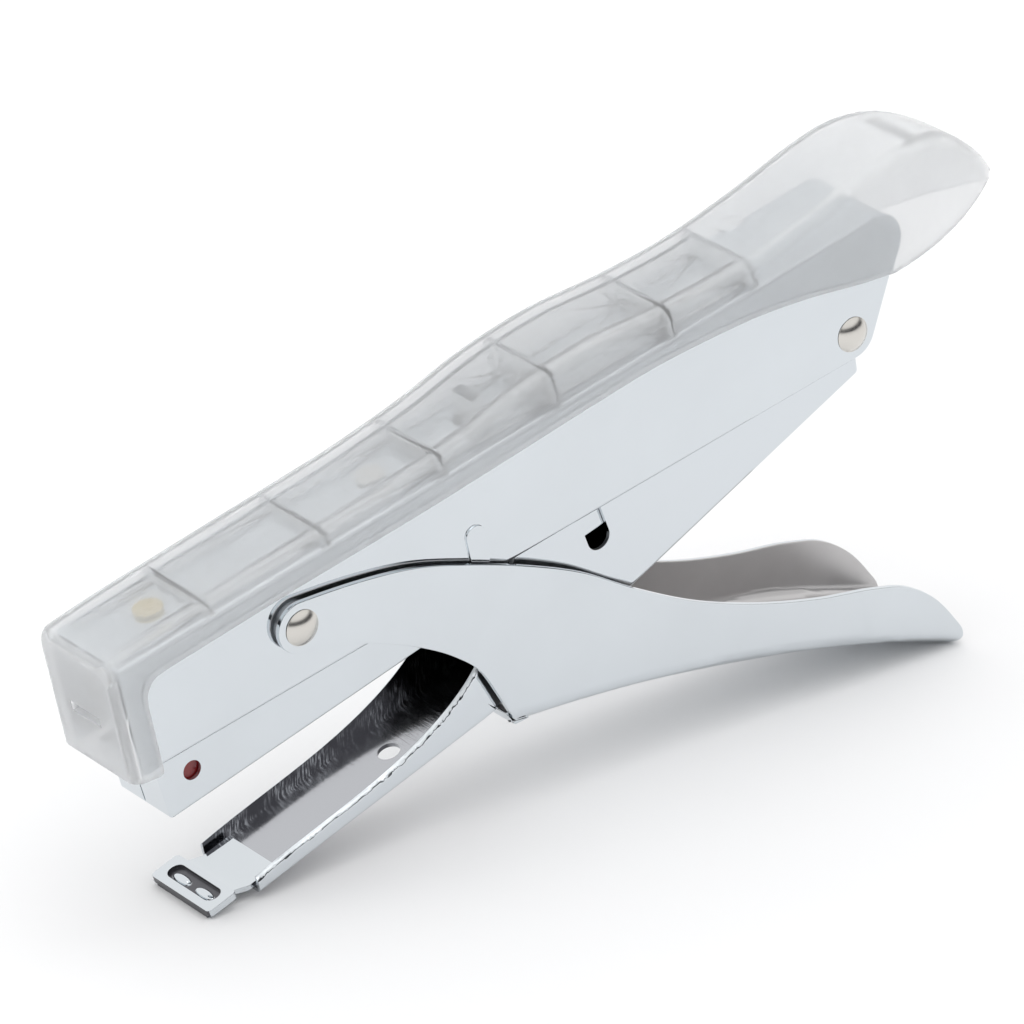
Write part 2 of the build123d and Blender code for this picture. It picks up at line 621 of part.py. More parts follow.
def standing_tilt(nodes):
    """The nose-down angle at which the anvil and the handle's tail are equally low."""
    rear = nodes["lower_handle"].bounding_box().min
    tilt = 12.0
    for _ in range(12):
        turn = Rot(0, tilt, 0)
        tail = (turn * nodes["lower_handle"]).bounding_box().min.Z
        nose = min((turn * nodes[name]).bounding_box().min.Z for name in ("anvil_arm", "anvil_plate"))
        tilt += degrees(atan2(nose - tail, ANVIL_FRONT - rear.X))
    return tilt


def main():
    os.makedirs("parts", exist_ok=True)
    nodes = build_nodes()
    tilt = standing_tilt(nodes)
    solids = {}
    for name, shape in nodes.items():
        pieces = shape if isinstance(shape, list) else [shape]
        solids[name] = Compound([Rot(0, tilt, 0) * solid for piece in pieces for solid in piece.solids()])
    whole = Compound(list(solids.values())).bounding_box()
    shift = Pos(-(whole.min.X + whole.max.X) / 2, 0, -whole.min.Z)
    print("tilt", tilt, "size", whole.size, "shift", shift.position)
    for name, shape in solids.items():
        export_step(shift * shape, f"parts/{name}.step")


main()
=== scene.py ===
import bpy
import bmesh
import json
from math import atan2, ceil, cos, pi, radians, sin, sqrt
from mathutils import Matrix, Vector


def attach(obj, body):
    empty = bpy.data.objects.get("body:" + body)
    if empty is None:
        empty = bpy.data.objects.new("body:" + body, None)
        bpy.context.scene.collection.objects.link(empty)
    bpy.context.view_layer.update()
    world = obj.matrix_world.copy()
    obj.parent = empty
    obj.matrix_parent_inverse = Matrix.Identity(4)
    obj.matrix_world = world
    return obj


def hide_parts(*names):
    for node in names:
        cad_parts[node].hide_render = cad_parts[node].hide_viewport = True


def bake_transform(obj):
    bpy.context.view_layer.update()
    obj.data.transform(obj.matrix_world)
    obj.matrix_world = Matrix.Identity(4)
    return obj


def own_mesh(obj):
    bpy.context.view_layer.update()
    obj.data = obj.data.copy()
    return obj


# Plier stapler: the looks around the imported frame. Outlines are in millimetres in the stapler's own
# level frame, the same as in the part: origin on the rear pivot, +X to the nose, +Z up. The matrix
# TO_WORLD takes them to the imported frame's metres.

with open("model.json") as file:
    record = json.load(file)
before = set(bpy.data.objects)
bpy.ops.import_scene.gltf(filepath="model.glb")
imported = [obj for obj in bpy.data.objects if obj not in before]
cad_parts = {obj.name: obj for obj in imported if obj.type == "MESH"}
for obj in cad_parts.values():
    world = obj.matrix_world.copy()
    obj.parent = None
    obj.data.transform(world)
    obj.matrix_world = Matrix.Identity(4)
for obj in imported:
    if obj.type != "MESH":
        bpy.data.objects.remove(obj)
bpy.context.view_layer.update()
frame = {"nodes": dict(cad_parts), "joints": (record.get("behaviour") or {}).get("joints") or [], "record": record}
JOINTS = {joint["name"]: joint for joint in frame["joints"]}
REAR_PIVOT = Vector(JOINTS["jaw_close"]["pos_m"])
FRONT_PIVOT = Vector(JOINTS["handle_squeeze"]["pos_m"])
MM = 0.001
FRONT_X = 96.45
FRONT_Z = 5.09
ACROSS = FRONT_PIVOT - REAR_PIVOT
TILT = atan2(FRONT_Z, FRONT_X) - atan2(ACROSS.z, ACROSS.x)
TO_WORLD = Matrix.Translation(REAR_PIVOT) @ Matrix.Rotation(TILT, 4, "Y") @ Matrix.Scale(MM, 4)


# ---- Light and camera ----
SKY_STRENGTH = 1.04
DARK_BOTTOM = 0.03
DARK_TOP = 0.22
DARK_FADE = 0.14
SOFTBOX_POWER = 2.6
CAMERA_AZIMUTH = 143.153
CAMERA_ELEVATION = 26.169
CAMERA_ROLL = 1.374
CAMERA_DISTANCE = 1.009
CAMERA_TARGET = (0.00637, 0.0, 0.04028)
CAMERA_LENS = 261.4


# ---- Node material helpers ----
BLACK_WHITE = ((0.0, 0.0, 0.0), (1.0, 1.0, 1.0))
MILK = (0.93, 0.94, 0.95, 1)


def new_material(name):
    material = bpy.data.materials.new(name)
    material.use_nodes = True
    nodes = material.node_tree.nodes
    return material, nodes, material.node_tree.links, nodes["Principled BSDF"]


def object_noise(nodes, links, scale, stretch=(1, 1, 1), detail=4.0, rough=0.55):
    """Noise in the object's own coordinates, in features per metre, stretched along the given axes."""
    place = nodes.new("ShaderNodeTexCoord")
    mapping = nodes.new("ShaderNodeMapping")
    mapping.inputs["Scale"].default_value = stretch
    noise = nodes.new("ShaderNodeTexNoise")
    noise.inputs["Scale"].default_value = scale
    noise.inputs["Detail"].default_value = detail
    noise.inputs["Roughness"].default_value = rough
    links.new(place.outputs["Object"], mapping.inputs["Vector"])
    links.new(mapping.outputs["Vector"], noise.inputs["Vector"])
    return noise.outputs["Fac"]


def ramp(nodes, links, source, low, high, colors):
    """A colour ramp between two positions."""
    node = nodes.new("ShaderNodeValToRGB")
    node.color_ramp.elements[0].position = low
    node.color_ramp.elements[1].position = high
    for element, color in zip(node.color_ramp.elements, colors):
        element.color = (*color, 1)
    links.new(source, node.inputs["Fac"])
    return node.outputs["Color"]


def spread_value(nodes, links, source, low, high):
    """Map a 0 to 1 value to a range."""
    node = nodes.new("ShaderNodeMapRange")
    node.inputs["To Min"].default_value = low
    node.inputs["To Max"].default_value = high
    links.new(source, node.inputs["Value"])
    return node.outputs["Result"]


def add_bump(nodes, links, shader, source, strength, distance):
    bump = nodes.new("ShaderNodeBump")
    bump.inputs["Strength"].default_value = strength
    bump.inputs["Distance"].default_value = distance
    links.new(source, bump.inputs["Height"])
    links.new(bump.outputs["Normal"], shader.inputs["Normal"])


def metal(name, dark, light, rough_low, rough_high, stretch, grain, bump_strength):
    """A metal with slight tone changes, fine drawn grain and uneven polish."""
    material, nodes, links, shader = new_material(name)
    shader.inputs["Metallic"].default_value = 1.0
    cloud = object_noise(nodes, links, 45.0)
    links.new(ramp(nodes, links, cloud, 0.3, 0.7, (dark, light)), shader.inputs["Base Color"])
    lines = object_noise(nodes, links, grain, stretch, 6.0, 0.65)
    links.new(spread_value(nodes, links, lines, rough_low, rough_high), shader.inputs["Roughness"])
    add_bump(nodes, links, shader, lines, bump_strength, 0.00002)
    return material


def plastic(name, dark, light, rough, bump_strength):
    material, nodes, links, shader = new_material(name)
    cloud = object_noise(nodes, links, 300.0)
    links.new(ramp(nodes, links, cloud, 0.3, 0.7, (dark, light)), shader.inputs["Base Color"])
    shader.inputs["Roughness"].default_value = rough
    shader.inputs["Coat Weight"].default_value = 0.4
    shader.inputs["Coat Roughness"].default_value = 0.08
    add_bump(nodes, links, shader, object_noise(nodes, links, 2500.0), bump_strength, 0.00003)
    return material


def combined(nodes, links, first, second, operation="MULTIPLY"):
    """Two values put through one operation, and kept within 0 to 1."""
    node = nodes.new("ShaderNodeMath")
    node.operation = operation
    node.use_clamp = True
    links.new(first, node.inputs[0])
    links.new(second, node.inputs[1])
    return node.outputs[0]


def axis_of(nodes, links, output, axis):
    """One axis of an output of the texture coordinates, such as the object's own Y."""
    place = nodes.new("ShaderNodeTexCoord")
    split = nodes.new("ShaderNodeSeparateXYZ")
    links.new(place.outputs[output], split.inputs[0])
    return split.outputs[axis]


def beyond(nodes, links, value, low, high):
    """0 to 1 as the size of a value, whatever its sign, goes from low to high."""
    size = nodes.new("ShaderNodeMath")
    size.operation = "ABSOLUTE"
    links.new(value, size.inputs[0])
    step = nodes.new("ShaderNodeMapRange")
    step.inputs["From Min"].default_value = low
    step.inputs["From Max"].default_value = high
    links.new(size.outputs[0], step.inputs["Value"])
    return step.outputs["Result"]


def clear_plastic(name):
    """Clear moulded plastic: milky, most so on the front wall, and a little frosted by the mould."""
    material, nodes, links, shader = new_material(name)
    cloud = object_noise(nodes, links, 60.0)
    tint = ramp(nodes, links, cloud, 0.3, 0.7, ((0.98, 0.985, 0.99), (0.99, 0.995, 0.998)))
    links.new(tint, shader.inputs["Base Color"])
    shader.inputs["IOR"].default_value = 1.33
    shader.inputs["Transmission Weight"].default_value = 1.0
    polish = object_noise(nodes, links, 220.0)
    links.new(spread_value(nodes, links, polish, 0.05, 0.12), shader.inputs["Roughness"])
    add_bump(nodes, links, shader, object_noise(nodes, links, 500.0), 0.08, 0.00004)
    milk = nodes.new("ShaderNodeBsdfDiffuse")
    milk.inputs["Color"].default_value = MILK
    veil = nodes.new("ShaderNodeBsdfTranslucent")
    veil.inputs["Color"].default_value = MILK
    soft = nodes.new("ShaderNodeMixShader")
    soft.inputs["Fac"].default_value = 0.5
    links.new(milk.outputs[0], soft.inputs[1])
    links.new(veil.outputs[0], soft.inputs[2])
    facing_nose = beyond(nodes, links, axis_of(nodes, links, "Normal", "X"), 0.85, 0.95)
    front_wall = spread_value(nodes, links, facing_nose, 0.0, 0.30)
    milk_share = combined(nodes, links, spread_value(nodes, links, cloud, 0.30, 0.38), front_wall, "ADD")
    mix = nodes.new("ShaderNodeMixShader")
    links.new(milk_share, mix.inputs["Fac"])
    links.new(shader.outputs[0], mix.inputs[1])
    links.new(soft.outputs[0], mix.inputs[2])
    links.new(mix.outputs[0], nodes["Material Output"].inputs["Surface"])
    return material


def arm_chrome_painted_shade_and_glints(name):
    """Chrome that is bright outside. Inside it is rougher and painted darker as shade, and on the inner walls it
    has scratches and a painted dark reflection with painted glints along the strokes.
    """
    material, nodes, links, shader = new_material(name)
    shader.inputs["Metallic"].default_value = 1.0
    inside = beyond(nodes, links, axis_of(nodes, links, "Object", "Y"), 0.0064, 0.0061)
    facing_across = beyond(nodes, links, axis_of(nodes, links, "Normal", "Y"), 0.5, 0.9)
    wall = combined(nodes, links, inside, facing_across)
    # Scratch strokes in patches on the inside: they give the bump, and they set where the painted glints fall on
    # the inner walls.
    grain = object_noise(nodes, links, 3200.0, (1.0, 0.05, 0.12), 3.0, 0.6)
    strokes = ramp(nodes, links, grain, 0.48, 0.6, BLACK_WHITE)
    patches = ramp(nodes, links, object_noise(nodes, links, 260.0), 0.42, 0.58, BLACK_WHITE)
    scratches_and_painted_glints = combined(nodes, links, combined(nodes, links, strokes, patches), inside)
    # Painted shade: the inside of the arm gets a darker chrome colour than the outside. On the inner walls the
    # colour goes nearly black as a painted dark reflection, lightened along the scratch strokes as painted glints.
    bare = ramp(nodes, links, inside, 0.0, 1.0, ((0.665, 0.70, 0.73), (0.48, 0.49, 0.515)))
    dark = ramp(nodes, links, scratches_and_painted_glints, 0.0, 1.0, ((0.09, 0.09, 0.10), (0.45, 0.46, 0.48)))
    tone = nodes.new("ShaderNodeMixRGB")
    links.new(wall, tone.inputs["Fac"])
    links.new(bare, tone.inputs["Color1"])
    links.new(dark, tone.inputs["Color2"])
    links.new(tone.outputs["Color"], shader.inputs["Base Color"])
    add_bump(nodes, links, shader, scratches_and_painted_glints, 0.3, 0.00003)
    links.new(spread_value(nodes, links, inside, 0.05, 0.16), shader.inputs["Roughness"])
    return material


# Each metal: dark and light tone, smooth and rough polish, stretch and fineness of the grain, bump.
CHROME = metal("chrome", (0.65, 0.685, 0.713), (0.68, 0.717, 0.746), 0.03, 0.10, (0.15, 1, 1), 900.0, 0.05)
# The arm's chrome carries painted shade, a painted dark reflection and painted glints inside.
ARM_CHROME_PAINTED_SHADE_AND_GLINTS = arm_chrome_painted_shade_and_glints("arm_chrome_painted_shade_and_glints")
INSIDE = metal("handle_inside", (0.50, 0.49, 0.49), (0.60, 0.59, 0.59), 0.26, 0.4, (0.3, 1, 1), 1100.0, 0.2)
EDGE = metal("rolled_edge", (0.60, 0.63, 0.65), (0.68, 0.71, 0.74), 0.3, 0.4, (1, 1, 1), 900.0, 0.05)
# Painted shade: a near-black metal colour for the clinching plate's pocket and front edge.
POCKET_PAINTED_SHADE = metal("pocket", (0.10, 0.10, 0.11), (0.16, 0.16, 0.17), 0.25, 0.4, (1, 1, 1), 900.0, 0.1)
RIVET = metal("rivet_nickel", (0.62, 0.60, 0.565), (0.70, 0.68, 0.64), 0.14, 0.26, (1, 1, 1), 1200.0, 0.1)
STEEL = metal("plain_steel", (0.34, 0.35, 0.37), (0.50, 0.51, 0.53), 0.22, 0.42, (0.2, 1, 1), 1400.0, 0.25)
BRASS = metal("brass", (0.58, 0.45, 0.20), (0.80, 0.68, 0.38), 0.18, 0.35, (1, 1, 1), 900.0, 0.2)
RED = plastic("dark_red_plastic", (0.16, 0.006, 0.008), (0.30, 0.012, 0.012), 0.3, 0.15)
CLEAR = clear_plastic("clear_plastic")
BY_SLOT = {
    "chrome_steel": CHROME,
    "rivet_nickel": RIVET,
    "spring_steel": STEEL,
    "brass": BRASS,
    "red_plastic": RED,
    "clear_plastic": CLEAR,
}
SLOTS = {part["node"]: part["material_slot"] for part in frame["record"]["subparts"]}


def paint_cad_nodes():
    for node, shown in frame["nodes"].items():
        shown.data.materials.clear()
        shown.data.materials.append(BY_SLOT[SLOTS[node]])


paint_cad_nodes()


# ---- Outlines, in millimetres, the same as in the part ----
COVER_TOP = (
    (126.1, 14.4), (122.5, 14.75), (98.0, 16.05), (75.0, 17.1), (64.5, 18.3), (54.0, 20.2), (42.0, 20.9),
    (30.0, 19.95), (19.0, 19.7), (6.0, 21.0), (-7.0, 23.1), (-13.0, 23.45), (-18.7, 22.4), (-23.0, 20.0),
    (-28.0, 15.4), (-31.3, 11.3), (-33.2, 7.6),
)
COVER_RIM = (
    (-8.0, 6.3), (-2.0, 7.6), (6.5, 9.8), (15.5, 11.5), (23.6, 12.3), (33.5, 12.8), (45.0, 12.5),
    (58.2, 11.9), (75.8, 11.2), (95.0, 10.8), (117.5, 10.0),
)
COVER_HALF = 8.65
COVER_WALL = 1.15
COVER_ROOF = 1.3
COVER_FRONT = 126.1
COVER_CORNER = 2.3
COVER_TAIL_START = -8.0
COVER_TAIL_REACH = 25.2
COVER_REAR = -33.15
CAVITY_FRONT = 124.5
CAVITY_REAR = -31.6
CAVITY_TAIL_REACH = 23.7
COVER_FRONT_CORNER = 1.8
COVER_TOP_CORNER = 1.6
LIP_X = 121.3
RIB = 0.8
RIB_STATIONS = (108.5, 88.9, 69.0, 49.4, 29.0, 14.6)
RIB_SIDE = 5.0
SNAP_X = 58.5
SNAP_RADIUS = 2.4
SNAP_BAR = 1.6
SNAP_TOP = 18.6
RIVET_GAP_X = 113.4
EJECTOR_MARKS = ((100.0, -2.0), (79.5, 2.2), (38.5, -2.2), (10.2, -2.0))
FRAME_TOP_REAR = 16.05
FRAME_TOP_SLOPE = -0.0242
FRAME_REAR_X = -14.6
FRAME_STEEL = 0.6
LEVER_TOP = (
    (95.55, 8.73), (91.5, 7.95), (86.0, 6.7), (77.0, 3.9), (68.5, -0.3), (60.4, -5.0), (52.0, -10.7),
    (44.2, -17.6), (33.3, -26.0), (24.6, -31.0), (15.0, -35.3), (5.6, -38.7), (0.3, -41.3), (-3.9, -45.3),
    (-7.0, -50.6), (-8.2, -53.8), (-7.9, -55.3), (-6.7, -55.7),
)
LEVER_RUN_ON = (78.0, -25.6)
LEVER_RUN_ON_SLOPE = 0.23
LEVER_BOTTOM = (
    (-14.0, -59.6), (-6.7, -55.7), (6.7, -48.5), (14.2, -45.1), (29.4, -39.4), (47.5, -33.2), (64.0, -28.8),
    LEVER_RUN_ON,
)
LEVER_FRONT = (
    (66.8, -28.4), (67.8, -25.2), (69.0, -21.5), (71.0, -16.4), (74.6, -12.0), (79.7, -7.6), (84.5, -4.3),
    (90.0, -1.3), (96.15, 1.35),
)
LIFTING_LIP = ((64.6, -28.2), (66.9, -28.0), (67.9, -25.55), (67.0, -25.5), (66.2, -27.2), (64.6, -27.5))
LEVER_HALF = 8.85
LEVER_TAIL_HALF = 9.9
LEVER_WALL = 0.9
LEVER_FLOOR = 1.0
LEVER_FOLD = 3.0
EAR_RADIUS = 3.75
SHANK = 1.6
HEAD_RADIUS = 2.6
HEAD_HEIGHT = 1.0
ARM_END = (110.6, -31.5)
ARM_FALL = 5.6
ARM_RUN = 40.1
ARM_INNER = 6.12
PLATE_TOP = 2.45
PLATE_NECK = ((106.5, 0), (111.5, 0), (114.7, 1.45), (114.7, 2.15), (111.2, 0.7), (106.5, 0.7))
POCKET_REAR = 114.9
POCKET_FRONT = 117.5
POCKET_HALF = 5.3
POCKET_DEPTH = 0.6
BEAD_X = 116.5
BEAD_Y = 2.6
BEAD_RADII = (0.75, 1.9, 0.5)
MAG_TILT = 4.5
ROD_Z = -1.0
SPRING_REAR = 41.3
SPRING_FRONT = 108.5
SPRING_COILS = 24
SPRING_RADIUS = 1.4
SPRING_WIRE = 0.2
COIL_RADIUS = 2.75
COIL_WIRE = 0.5
COIL_TURNS = 5
COIL_STEPS = 28


# ---- Mesh helpers ----
def smooth_line(points, spacing=0.9):
    """Points along a smooth curve through the given ones, about a spacing apart."""
    knots = [Vector(point) for point in points]
    runs = [(b - a).length for a, b in zip(knots, knots[1:])]
    chords = [(b - a) / run for a, b, run in zip(knots, knots[1:], runs)]
    slopes = [chords[0]]
    for i in range(1, len(knots) - 1):
        slopes.append((chords[i - 1] * runs[i] + chords[i] * runs[i - 1]) / (runs[i - 1] + runs[i]))
    slopes.append(chords[-1])
    line = []
    for i, run in enumerate(runs):
        count = max(2, ceil(run / spacing))
        for k in range(count):
            t = k / count
            bend_in = run * (t**3 - 2 * t**2 + t)
            bend_out = run * (t**3 - t**2)
            share = 3 * t**2 - 2 * t**3
            point = knots[i] * (1 - share) + knots[i + 1] * share
            line.append(point + slopes[i] * bend_in + slopes[i + 1] * bend_out)
    line.append(knots[-1])
    return line


def height_on(line, x):
    """Height of an (x, z) line at x."""
    for a, b in zip(line, line[1:]):
        low, high = sorted((a[0], b[0]))
        if low <= x <= high and high > low:
            return a[1] + (b[1] - a[1]) * (x - a[0]) / (b[0] - a[0])
    return line[0][1] if abs(x - line[0][0]) < abs(x - line[-1][0]) else line[-1][1]


def frame_top(x):
    """Height of the outside of the frame's sloping top plate."""
    return FRAME_TOP_REAR + FRAME_TOP_SLOPE * (x - FRAME_REAR_X)


def solid(name, verts, faces):
    """A closed mesh object with its faces turned outwards."""
    mesh = bpy.data.meshes.new(name)
    mesh.from_pydata([tuple(vert) for vert in verts], [], faces)
    work = bmesh.new()
    work.from_mesh(mesh)
    bmesh.ops.recalc_face_normals(work, faces=work.faces)
    work.to_mesh(mesh)
    work.free()
    piece = bpy.data.objects.new(name, mesh)
    bpy.context.scene.collection.objects.link(piece)
    return piece


def loft(name, rings):
    """A closed solid through rings that have the same number of points."""
    count = len(rings[0])
    verts = [point for ring in rings for point in ring]
    faces = [tuple(range(count)), tuple(range((len(rings) - 1) * count, len(rings) * count))]
    for start in range(0, (len(rings) - 1) * count, count):
        for i in range(count):
            j = (i + 1) % count
            faces.append((start + i, start + j, start + count + j, start + count + i))
    return solid(name, verts, faces)


def prism(outline, low_y, high_y):
    """A solid with an (x, z) outline, from low_y to high_y."""
    return loft("prism", [[(x, y, z) for x, z in outline] for y in (low_y, high_y)])


def block(low, high):
    corners = ((low[0], low[2]), (high[0], low[2]), (high[0], high[2]), (low[0], high[2]))
    return prism(corners, low[1], high[1])


def disc(x, y, radius, low_z, high_z, count=40):
    """An upright cylinder."""
    turns = [2 * pi * i / count for i in range(count)]
    ring = [(x + radius * cos(a), y + radius * sin(a)) for a in turns]
    return loft("disc", [[(px, py, z) for px, py in ring] for z in (low_z, high_z)])


def lathe(name, x, z, profile, count=64):
    """A solid turned about an axis along Y through (x, z), from (radius, y) points."""
    turns = [2 * pi * i / count for i in range(count)]
    return loft(name, [[(x + r * cos(a), y, z + r * sin(a)) for a in turns] for r, y in profile])


def tube(name, path, radius, count=10):
    """A round wire along a path."""
    rings = []
    side = Vector((0, 0, 1))
    for i, point in enumerate(path):
        along = (path[min(i + 1, len(path) - 1)] - path[max(i - 1, 0)]).normalized()
        side = (side - along * side.dot(along)).normalized()
        up = along.cross(side)
        turns = [2 * pi * k / count for k in range(count)]
        rings.append([point + side * radius * cos(a) + up * radius * sin(a) for a in turns])
    return loft(name, rings)


def combine(piece, tool, operation="DIFFERENCE"):
    """Cut, join or intersect a piece with a tool, and remove the tool."""
    change = piece.modifiers.new("combine", "BOOLEAN")
    change.operation = operation
    change.solver = "EXACT"
    change.object = tool
    bake(piece)
    bpy.data.objects.remove(tool)


def bake(piece):
    """Apply the piece's modifiers to its mesh."""
    shaped = piece.evaluated_get(bpy.context.evaluated_depsgraph_get())
    piece.data = bpy.data.meshes.new_from_object(shaped)
    piece.modifiers.clear()


def soften(piece, width, angle=35, segments=2):
    """Round the sharp edges by a small width, and shade the rest smooth by the larger faces."""
    if width:
        bevel = piece.modifiers.new("soften", "BEVEL")
        bevel.width = width
        bevel.segments = segments
        bevel.limit_method = "ANGLE"
        bevel.angle_limit = radians(angle)
        bevel.use_clamp_overlap = False
        bake(piece)
    piece.data.shade_smooth()
    piece.data.set_sharp_from_angle(angle=radians(angle))
    even = piece.modifiers.new("even_normals", "WEIGHTED_NORMAL")
    even.mode = "FACE_AREA"
    even.weight = 90
    even.keep_sharp = True
    bake(piece)


def clean(piece, angle=1.0, near=0.002):
    """Merge double points and remove the needless edges of a mesh."""
    work = bmesh.new()
    work.from_mesh(piece.data)
    bmesh.ops.remove_doubles(work, verts=work.verts, dist=near)
    bmesh.ops.dissolve_limit(work, angle_limit=radians(angle), verts=work.verts, edges=work.edges)
    work.to_mesh(piece.data)
    work.free()


def fit_in(piece, node, material, body=None, second=None):
    """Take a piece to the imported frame, give it its materials and let it stand for a CAD node."""
    piece.data.transform(TO_WORLD)
    piece.data.name = piece.name
    piece.data.materials.append(material)
    if second:
        piece.data.materials.append(second)
    if body:
        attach(piece, body)
    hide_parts(node)


# ---- Grip cover ----
def arch(x, half, edge, corner, foot, up=1, steps=7):
    """A section with two rounded corners at the edge height, and its feet at the foot height."""
    turns = [pi / 2 * k / steps for k in range(steps + 1)]
    ring = [(x, half, foot)]
    ring += [(x, half - corner + corner * cos(a), edge - up * (corner - corner * sin(a))) for a in turns]
    return ring + [(px, -y, z) for px, y, z in reversed(ring)]


def nose_round(x, front, radius):
    """How far a rounded edge has turned in at x, near a flat front."""
    start = front - radius
    return radius - sqrt(max(radius**2 - (x - start) ** 2, 0)) if x > start else 0


def tail_half(x, half, reach):
    """Half the cover's width: straight sides, with a parabola at the tail."""
    share = max((COVER_TAIL_START - x) / reach, 0)
    return max(half * (1 - share**2), 0.05)


def cover_stations(front, rear):
    """Where the cover's sections are, closer together near both ends."""
    fine_front = [front - 1.8 * (1 - cos(pi / 2 * k / 6)) for k in range(7)]
    fine_rear = [rear + 12 * (1 - cos(pi / 2 * k / 12)) for k in range(13)]
    middle = [front - 2.5 - 2.2 * k for k in range(int((front - 2.5 - rear - 13) / 2.2) + 1)]
    return sorted(fine_front + middle + fine_rear, reverse=True)


def cover_body(front, rear, half, reach, drop, corner, foot):
    """A solid under the cover's top line, lowered by a drop, down to a foot height."""
    line = smooth_line(COVER_TOP)
    rings = []
    for x in cover_stations(front, rear):
        width = tail_half(x, half, reach) - nose_round(x, front, COVER_FRONT_CORNER - drop)
        thicker = 1.0 + 0.25 * max(0.0, -14 - x) / 10
        top = height_on(line, x) - drop * thicker - nose_round(x, front, COVER_TOP_CORNER - drop)
        rings.append(arch(x, width, top, min(corner, width * 0.9), foot))
    return loft("grip_cover_clear", rings)


def rim_cutter():
    """What lies below the cover's rim and front lip."""
    rim = smooth_line(COVER_RIM)
    lip = smooth_line(((117.5, 10.0), (119.6, 9.6), (120.9, 8.2), (121.3, 6.2)), 0.4)[1:]
    corner = smooth_line(((LIP_X, -3.9), (121.5, -4.4), (122.1, -4.6)), 0.3)
    rear = [(-45, -40), (-45, 7.6), (-33.3, 7.6), (-32.6, 6.3)]
    front = [(126.6, -4.0), (135, -4.0), (135, -40)]
    return prism([tuple(point) for point in rear + rim + lip + corner + front], -14, 14)


def make_grip_cover():
    shell = cover_body(COVER_FRONT, COVER_REAR, COVER_HALF, COVER_TAIL_REACH, 0.0, COVER_CORNER, -12)
    half = COVER_HALF - COVER_WALL
    corner = COVER_CORNER - COVER_WALL
    cavity = cover_body(CAVITY_FRONT, CAVITY_REAR, half, CAVITY_TAIL_REACH, COVER_ROOF, corner, -16)
    for x in RIB_STATIONS:
        combine(cavity, block((x - RIB / 2, -9, frame_top(x) + 0.1), (x + RIB / 2, 9, 40)))
    for side in (-1, 1):
        low_y, high_y = side * RIB_SIDE - RIB / 2, side * RIB_SIDE + RIB / 2
        rear_x = RIB_STATIONS[-1]
        foot = [(rear_x, frame_top(rear_x) + 0.1), (122, frame_top(122) + 0.1)]
        combine(cavity, prism([*foot, (122, 40), (rear_x, 40)], low_y, high_y))
    for x, y in EJECTOR_MARKS:
        combine(cavity, disc(x, y, 1.9, 12, height_on(COVER_TOP, x) - COVER_ROOF + 0.22), "UNION")
    combine(cavity, disc(RIVET_GAP_X, 0, 2.9, 5, frame_top(RIVET_GAP_X) + 0.9), "UNION")
    combine(shell, cavity)
    combine(shell, rim_cutter())
    combine(shell, block((122, -3.3, 3.25), (128, 3.3, 4.65)))
    bar = disc(SNAP_X, 0, SNAP_RADIUS, frame_top(SNAP_X) - 1.1, SNAP_TOP)
    combine(bar, block((SNAP_X - SNAP_BAR / 2, -5, 0), (SNAP_X + SNAP_BAR / 2, 5, 30)), "INTERSECT")
    combine(shell, bar, "UNION")
    clean(shell, 0.5)
    soften(shell, 0.16)
    fit_in(shell, "grip_cover", CLEAR, "frame")


# ---- Lower handle ----
def flare(x, tail_half_width, half):
    """Half the handle's width, wider towards the tail."""
    share = min(max((34 - x) / 28, 0), 1)
    return half + (tail_half_width - half) * (3 * share**2 - 2 * share**3)


def trough(inset, foot, rear, front):
    """The space above the handle's lower line, between its sides, with rounded lower edges."""
    line = smooth_line(LEVER_BOTTOM)
    rings = []
    for i in range(int(front - rear) + 1):
        x = rear + i
        slope = (height_on(line, x + 0.5) - height_on(line, x - 0.5)) if -13 < x < 77 else 0.3
        lift = (LEVER_FLOOR if inset else 0) * sqrt(1 + slope**2)
        past = x - LEVER_RUN_ON[0]
        bottom = (height_on(line, x) if past < 0 else LEVER_RUN_ON[1] + past * LEVER_RUN_ON_SLOPE) + lift
        half = flare(x, LEVER_TAIL_HALF, LEVER_HALF) - inset
        rings.append(arch(x, half, bottom, LEVER_FOLD - inset, foot, -1))
    return loft("handle_channel", rings)


def lever_outline():
    """The handle from the side, open below."""
    start = atan2(3.64, -0.9)
    sweep = start + atan2(3.74, -0.3)
    ear = [start - sweep * i / 24 for i in range(25)]
    arc = [(FRONT_X + EAR_RADIUS * cos(a), FRONT_Z + EAR_RADIUS * sin(a)) for a in ear]
    top = [tuple(point) for point in smooth_line(LEVER_TOP)]
    front = [tuple(point) for point in smooth_line(LEVER_FRONT[1:])]
    return top + [(-6.7, -75), (66.0, -50), LEVER_FRONT[0]] + front[:-1] + list(reversed(arc))[:-1]


def mark_inside(channel):
    """Give the faces inside the handle's trough the second material."""
    for face in channel.data.polygons:
        x, y, z = face.center
        wall = flare(x, LEVER_TAIL_HALF, LEVER_HALF)
        inward = face.normal.z - face.normal.y * (1 if y > 0 else -1)
        if inward > 0.4 and abs(y) < wall - 0.55:
            face.material_index = 1


def make_lower_handle():
    channel = trough(0, 30, -13, 103)
    combine(channel, prism(lever_outline(), -11, 11), "INTERSECT")
    combine(channel, trough(LEVER_WALL, 34, -14, 106))
    lip_half = LEVER_HALF - LEVER_WALL + 0.1
    combine(channel, prism(LIFTING_LIP, -lip_half, lip_half), "UNION")
    combine(channel, lathe("bore", FRONT_X, FRONT_Z, ((SHANK + 0.05, -12), (SHANK + 0.05, 12))))
    clean(channel, 0.3)
    soften(channel, 0.2)
    mark_inside(channel)
    fit_in(channel, "lower_handle", CHROME, "handle", INSIDE)


